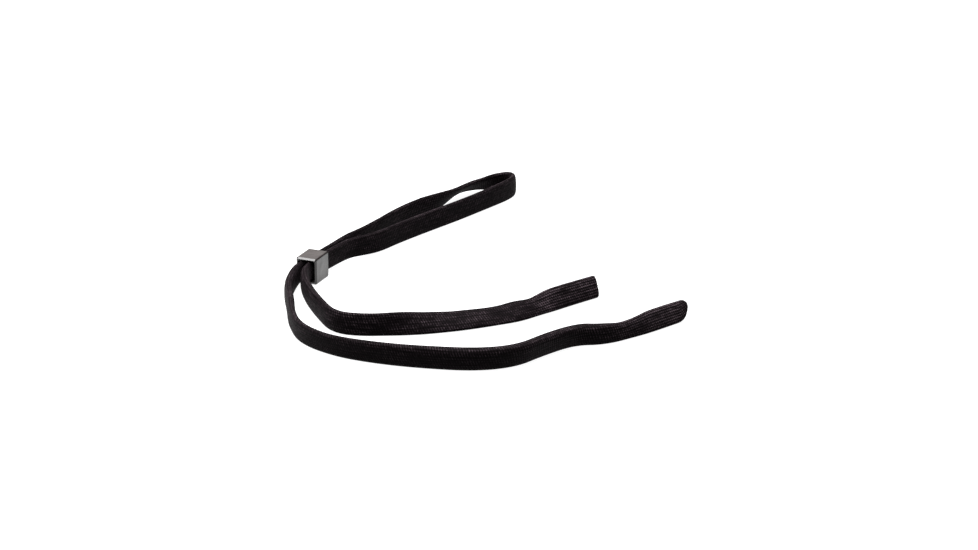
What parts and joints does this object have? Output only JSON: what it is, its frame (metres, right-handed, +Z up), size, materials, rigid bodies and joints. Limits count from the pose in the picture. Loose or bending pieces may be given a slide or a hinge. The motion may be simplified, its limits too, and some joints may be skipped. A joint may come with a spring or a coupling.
{
  "type": "eyeglass retainer strap",
  "caption": "Flat knitted cord doubled through a sliding moulded box, with a sleeve pocket at each end for the temple tips of a pair of glasses.",
  "frame": {"origin": "on the resting surface under the slider, midway between the two strands that it grips", "axes": "+Z up from the resting surface, +Y along the gripped strands from the arms towards the loop, which is the way the slider slides, +X to the side that the arms curve to"},
  "size_m": [0.1768, 0.2281, 0.0122],
  "materials": {
    "slider_plastic": "glossy moulded, rounded edges",
    "cord_knit": "fine tubular knit, lengthwise ribs",
    "pocket_knit": "fine tubular knit, ribs more open than on the cord",
    "hem_knit": "fine tubular knit, turned in"
  },
  "bodies": {
    "strap": {"left_gripped_strand": "cord_knit", "right_gripped_strand": "cord_knit", "cord_loop": "cord_knit"},
    "slider": {"slider": "slider_plastic"},
    "left_arm": {"left_arm_cord": "cord_knit", "left_end_pocket": "pocket_knit", "left_pocket_hem": "hem_knit"},
    "right_arm": {"right_arm_cord": "cord_knit", "right_end_pocket": "pocket_knit", "right_pocket_hem": "hem_knit"}
  },
  "joints": [
    {"name": "slider_slide", "type": "slide", "parent": "strap", "child": "slider", "axis": [0, 1, 0], "range_m": [0, 0.02]},
    {"name": "left_arm_swing", "type": "hinge", "parent": "strap", "child": "left_arm", "pos_m": [-0.00125, -0.0095, 0.0061], "axis": [0, 0, -1], "range_deg": [0, 35]},
    {"name": "right_arm_swing", "type": "hinge", "parent": "strap", "child": "right_arm", "pos_m": [0.0022, -0.0095, 0.0061], "axis": [0, 0, 1], "range_deg": [0, 35]}
  ]
}
